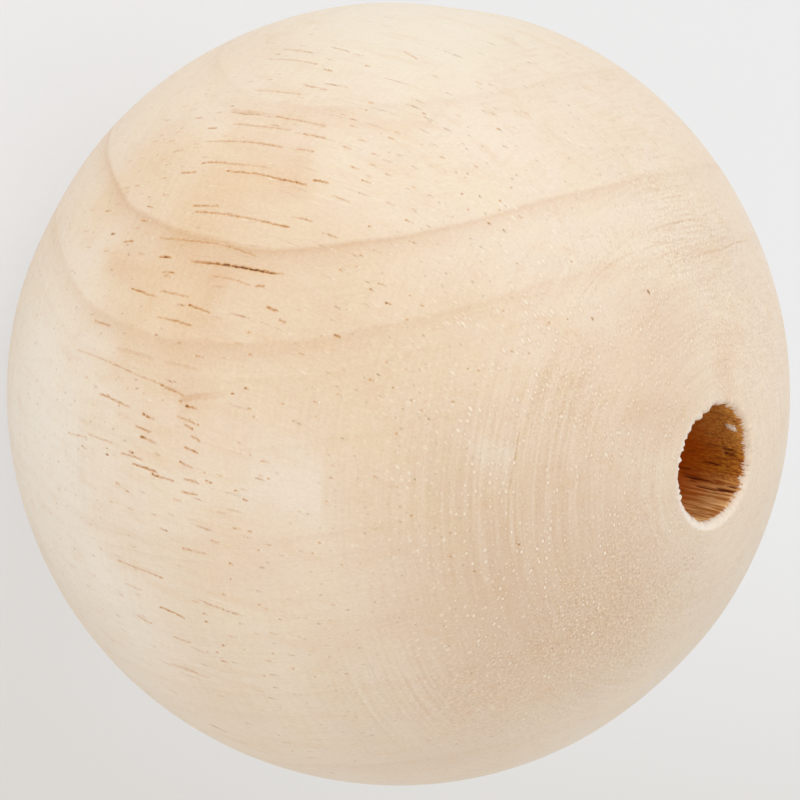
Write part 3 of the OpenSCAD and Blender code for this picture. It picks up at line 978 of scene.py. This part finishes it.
def sanded_rubberwood():
    """Rubberwood, turned and sanded: matt cream, with brown pore lines that shorten to dots on end grain."""
    material = bpy.data.materials.new("sanded_rubberwood")
    material.use_nodes = True
    tree = material.node_tree
    tree.nodes.clear()
    at = wood_places(tree)

    open_pores, lit_pore_end, open_zones = grown_pores(tree, at)
    cut, halo, glint = cut_pores(tree, at)
    open_pores = add(tree, MATH, {0: open_pores, 1: cut}, operation="MAXIMUM")
    deep_pores = add(tree, MAP_RANGE, {"Value": open_pores, "From Min": 0.6, "From Max": 1.05})
    stained_pores = add(tree, MAP_RANGE, {"Value": open_pores, "From Max": 0.65})
    # Toward the end grain the stain in a pore is duller.
    dull_side = add(tree, MAP_RANGE, {"Value": at.polar, "From Min": math.radians(80),
                                      "From Max": math.radians(52)})
    dull_pores = add(tree, MATH, {0: stained_pores, 1: dull_side}, operation="MULTIPLY")
    stained_pores = add(tree, MATH, {0: stained_pores, 1: dull_pores}, operation="SUBTRACT")
    dust_and_glint, pore_shade = sanding_dust(tree, at, lit_pore_end, glint)
    rings, hairlines = growth_rings(tree, at)
    marks = turning_marks(tree, at)
    # Pale and dark marks: partly the scratches' own tone, partly painted highlight and shade of the ridges.
    pale_and_lit_marks = add(tree, MATH, {0: marks, 1: 1.0}, operation="MULTIPLY", use_clamp=True)
    dark_and_shaded_marks = add(tree, MATH, {0: marks, 1: -1.0}, operation="MULTIPLY", use_clamp=True)
    wall, rim = mouth_shares(tree, at)
    wall_fibre, wall_colour = drilled_wood(tree, at)
    fleck, fleck_tone, fuzz = loose_fibres(tree, at)

    # Colours, from the ground colour up to the marks that lie over it.
    stain = stretched_noise(tree, at.wandering, (0.9, 0.9, 0.12), 3, 0.6)
    stain = add(tree, MAP_RANGE, {"Value": stain, "From Min": 0.52, "From Max": 0.75, "To Max": 0.35})
    stain = add(tree, MATH, {0: stain, 1: open_zones}, operation="MULTIPLY")
    blotch = add(tree, NOISE, {"Vector": at.grain, "Scale": 0.08, "Detail": 3})
    blotch = add(tree, MAP_RANGE, {"Value": blotch, "From Min": 0.45, "From Max": 0.75, "To Max": 0.15})
    ground = bare_wood(tree, at)
    # The shade round dust dots is painted shade, the dust layer also carries painted pore highlights, and the
    # pale and dark marks are partly painted light and shade.
    layers = (
        (blotch, "#DDB88C"), (stain, "#DFAF78"), (hairlines, "#CFA172"), (rings, "#C68A46"),
        (pore_shade, "#BE8C5C"), (halo, "#DE9C4C"), (stained_pores, "#BA7A34"), (dull_pores, "#A08654"),
        (deep_pores, "#3E1C08"), (dust_and_glint, "#FFF3E0"), (pale_and_lit_marks, "#FBF1E2"), (dark_and_shaded_marks, "#C79F74"),
    )
    for share, colour in layers:
        ground = add(tree, MIX, {"Factor": share, "A": ground, "B": linear(colour)}, data_type="RGBA")
    ground = add(tree, MIX, {"Factor": fuzz, "A": ground, "B": fleck_tone}, data_type="RGBA",
                 blend_type="SOFT_LIGHT")
    # The rim's pale lip: partly pale fibres, partly a painted highlight on its rounded edge, strongest on one
    # side.
    ground = add(tree, MIX, {"Factor": rim, "A": ground, "B": linear("#FFF9EE")}, data_type="RGBA")
    ground = add(tree, MIX, {"Factor": wall, "A": ground, "B": wall_colour}, data_type="RGBA")

    # Relief too fine for the mesh: pores are sunk, dust and the painted pore highlights stand up, and the
    # cutter's marks are shallow.
    relief = add(tree, MATH, {0: fleck, 1: fuzz}, operation="MULTIPLY")
    for height, factor in ((open_pores, -1.0), (marks, 0.8), (dust_and_glint, 0.8), (wall, wall_fibre)):
        relief = add(tree, MATH, {0: height, 1: factor, 2: relief}, operation="MULTIPLY_ADD")
    bump = add(tree, "ShaderNodeBump", {"Height": relief, "Strength": 0.6, "Distance": 0.05 * MM})
    sheen = add(tree, MAP_RANGE, {"Value": wall, "To Min": 0.15, "To Max": 0.0})
    shader = add(tree, "ShaderNodeBsdfPrincipled", {"Base Color": ground, "Roughness": 0.6, "IOR": 1.5,
                                                    "Sheen Weight": sheen, "Sheen Roughness": 0.5,
                                                    "Normal": bump})
    tree.links.new(shader, tree.nodes.new("ShaderNodeOutputMaterial").inputs["Surface"])
    return material


def set_ring_stops(ramp, group):
    """Puts growth rings on a ramp: each is a dark line that ends sharply outwards and fades inwards."""
    ramp.elements[0].color = ramp.elements[1].color = (0, 0, 0, 1)
    for height, dark in group:
        for offset, share in RING_FORM:
            ramp.elements.new((height + offset) / RAMP_SPAN + 0.5).color = [dark * share] * 3 + [1]


def set_mark_stops(ramp):
    """Puts the turning marks on a ramp, where middle grey is bare wood and white is a pale mark."""
    ramp.elements[0].color = ramp.elements[1].color = (0.5, 0.5, 0.5, 1)
    for angle, half_width, tone in TURNING_MARKS:
        arc = math.radians(angle) * BALL_R
        for place, shade in ((arc - half_width, 0.5), (arc, 0.5 + tone / 2), (arc + half_width, 0.5)):
            ramp.elements.new(place / ARC_SPAN).color = (shade, shade, shade, 1)


def matt_floor():
    """Backdrop paper: matt white that takes a soft shadow, greyed toward +X by painted shade, and looks a
    little lighter than it lights.
    """
    material = bpy.data.materials.new("matt_backdrop_paper")
    material.use_nodes = True
    tree = material.node_tree
    tree.nodes.clear()
    across_floor = add(tree, SPLIT, {0: add(tree, "ShaderNodeTexCoord", out="Object")}, out="X")
    # Painted shade: the paper's own colour turns greyer toward +X.
    shaded_far_side = add(tree, MAP_RANGE, {"Value": across_floor, "From Min": -10 * MM, "From Max": 60 * MM},
                   interpolation_type="SMOOTHSTEP")
    tone = add(tree, MIX, {"Factor": shaded_far_side, "A": linear("#EFEFEF"), "B": linear("#DCD9D4")},
               data_type="RGBA")
    paper = add(tree, "ShaderNodeBsdfPrincipled", {"Base Color": tone, "Roughness": 0.9})
    glow = add(tree, "ShaderNodeEmission", {"Color": tone, "Strength": 1.0})
    # The paper glows only where it is seen, directly, in a gloss or through glass.
    camera, glossy, through = add(tree, "ShaderNodeLightPath",
                                  out=("Is Camera Ray", "Is Glossy Ray", "Is Transmission Ray"))
    seen = add(tree, MATH, {0: camera, 1: glossy}, operation="ADD")
    seen = add(tree, MATH, {0: seen, 1: through}, operation="ADD", use_clamp=True)
    seen = add(tree, MATH, {0: seen, 1: 0.7}, operation="MULTIPLY")
    mixed = add(tree, "ShaderNodeMixShader", {0: seen, 1: paper, 2: glow})
    tree.links.new(mixed, tree.nodes.new("ShaderNodeOutputMaterial").inputs["Surface"])
    return material


# ---------------------------------------------------------------- stage
# In metres, and the sky's brightness.
FLOOR_SIZE = 6
LAMP_DISTANCE = 0.8
LAMP_SIZE = 0.6
SKY_STRENGTH = 0.735


def lay_floor():
    bpy.ops.object.select_all(action="DESELECT")
    bpy.ops.mesh.primitive_plane_add(size=FLOOR_SIZE, location=(0, 0, cad_low.z))
    floor = bpy.context.object
    floor.name = "floor"
    floor.data.materials.append(matt_floor())


def hang_lamp(name, direction, power):
    """A square soft lamp that faces the bead."""
    data = bpy.data.lights.new(name, "AREA")
    data.size = LAMP_SIZE
    data.energy = power
    lamp = bpy.data.objects.new(name, data)
    lamp.location = direction.normalized() * LAMP_DISTANCE
    lamp.rotation_mode = "QUATERNION"
    lamp.rotation_quaternion = direction.to_track_quat("Z", "Y")
    lamp.visible_camera = False
    scene.collection.objects.link(lamp)


def light_stage():
    world = bpy.data.worlds.new("studio")
    world.use_nodes = True
    sky = world.node_tree.nodes["Background"]
    sky.inputs["Color"].default_value = linear("#FFFFFF")
    sky.inputs["Strength"].default_value = SKY_STRENGTH
    scene.world = world
    hang_lamp("top_softbox", CAMERA_RIGHT * 0.3 + CAMERA_UP * 0.8 + CAMERA_BACK * 0.5, 1.6)
    hang_lamp("low_softbox", Vector((0.35, -0.94, 0.12)), 2.0)
    hang_lamp("side_softbox", CAMERA_RIGHT, 0.75)


scene.view_settings.view_transform = "Standard"
make_camera()
light_stage()
lay_floor()

bead = turn_bead()
pores = placed_pores()
for reach in PORE_REACHES:
    refine_at_pores(bead, pores, reach)
wear_bead(bead, pores)
bpy.ops.object.shade_smooth()
bead.data.materials.append(sanded_rubberwood())
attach(bead, "root")
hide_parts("bead")
